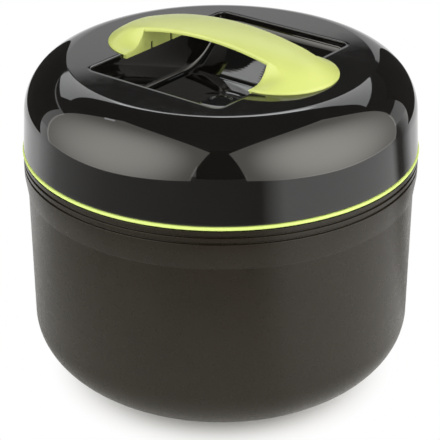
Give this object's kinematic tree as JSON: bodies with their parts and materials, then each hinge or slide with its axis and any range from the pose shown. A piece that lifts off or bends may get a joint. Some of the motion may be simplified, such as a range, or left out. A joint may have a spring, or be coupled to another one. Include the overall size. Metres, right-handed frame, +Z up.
{
  "type": "insulated lunch box",
  "caption": "Round double-walled food carrier with a steel pot, a twist-lock domed lid on a soft seal, and an arched handle over a hand pocket in the lid.",
  "frame": {"origin": "centre of the foot on the table", "axes": "+Z up along the tub's axis, +X along the handle"},
  "size_m": [0.21, 0.21, 0.1975],
  "materials": {
    "tub_plastic": "dark brown-black satin",
    "lid_plastic": "black-brown high gloss",
    "handle_plastic": "lime, fine satin",
    "seal_rubber": "lime, soft",
    "pot_steel": "brushed",
    "liner_plastic": "grey, smooth",
    "foam": "rigid foam, open skin",
    "screw_steel": "zinc-plated"
  },
  "bodies": {
    "tub": {"outer_shell": "tub_plastic", "rim_collar": "tub_plastic", "base_cap": "tub_plastic", "inner_pot": "pot_steel", "body_insulation": "foam"},
    "seal": {"seal_ring": "seal_rubber"},
    "lid": {"lid_cover": "lid_plastic", "lid_liner": "liner_plastic", "pot_gasket": "seal_rubber", "lid_insulation": "foam", "handle": "handle_plastic", "handle_screws": "screw_steel"}
  },
  "joints": [
    {"name": "lid_lift", "type": "slide", "parent": "tub", "child": "seal", "axis": [0, 0, 1], "range_m": [0, 0.12]},
    {"name": "lid_turn", "type": "hinge", "parent": "seal", "child": "lid", "pos_m": [0, 0, 0.1345], "axis": [0, 0, 1], "range_deg": [-40, 0]}
  ]
}
